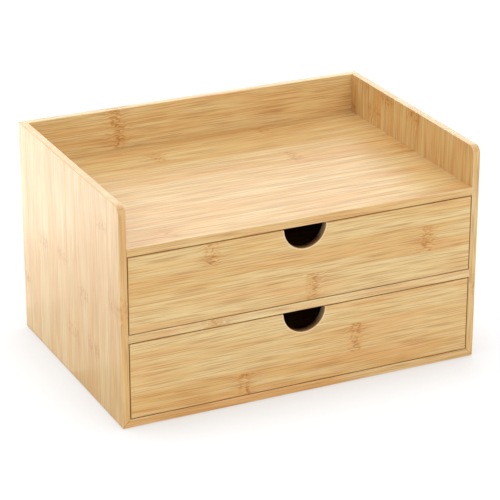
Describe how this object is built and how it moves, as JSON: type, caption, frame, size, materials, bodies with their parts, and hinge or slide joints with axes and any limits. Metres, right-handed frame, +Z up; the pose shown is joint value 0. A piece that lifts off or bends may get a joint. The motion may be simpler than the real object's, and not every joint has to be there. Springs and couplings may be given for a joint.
{
  "type": "desktop drawer organizer",
  "caption": "Bamboo desk organizer: an open-fronted paper tray above flush drawers with half-round finger notches.",
  "frame": {"origin": "middle of the footprint, on the desk under the foot pads", "axes": "+X to the right as seen from the drawer fronts, +Y from the drawer fronts to the back, +Z up"},
  "size_m": [0.35, 0.24, 0.207],
  "materials": {
    "bamboo_board": "clear satin lacquer",
    "bamboo_thin_panel": "clear satin lacquer",
    "brad_steel": "galvanised wire",
    "pad_rubber": "matte"
  },
  "bodies": {
    "case": {"back_panel": "bamboo_board", "back_panel_brads": "brad_steel", "bottom_board": "bamboo_board", "front_left_foot_pad": "pad_rubber", "front_right_foot_pad": "pad_rubber", "left_mitre_spline": "bamboo_board", "left_side_panel": "bamboo_board", "middle_shelf": "bamboo_board", "rear_left_foot_pad": "pad_rubber", "rear_right_foot_pad": "pad_rubber", "right_mitre_spline": "bamboo_board", "right_side_panel": "bamboo_board", "tray_floor": "bamboo_board"},
    "upper_drawer": {"upper_drawer_back": "bamboo_board", "upper_drawer_bottom": "bamboo_thin_panel", "upper_drawer_brads": "brad_steel", "upper_drawer_front": "bamboo_board", "upper_drawer_left_side": "bamboo_board", "upper_drawer_right_side": "bamboo_board"},
    "lower_drawer": {"lower_drawer_back": "bamboo_board", "lower_drawer_bottom": "bamboo_thin_panel", "lower_drawer_brads": "brad_steel", "lower_drawer_front": "bamboo_board", "lower_drawer_left_side": "bamboo_board", "lower_drawer_right_side": "bamboo_board"}
  },
  "joints": [
    {"name": "upper_drawer_slide", "type": "slide", "parent": "case", "child": "upper_drawer", "axis": [0, -1, 0], "range_m": [0, 0.17]},
    {"name": "lower_drawer_slide", "type": "slide", "parent": "case", "child": "lower_drawer", "axis": [0, -1, 0], "range_m": [0, 0.17]}
  ]
}
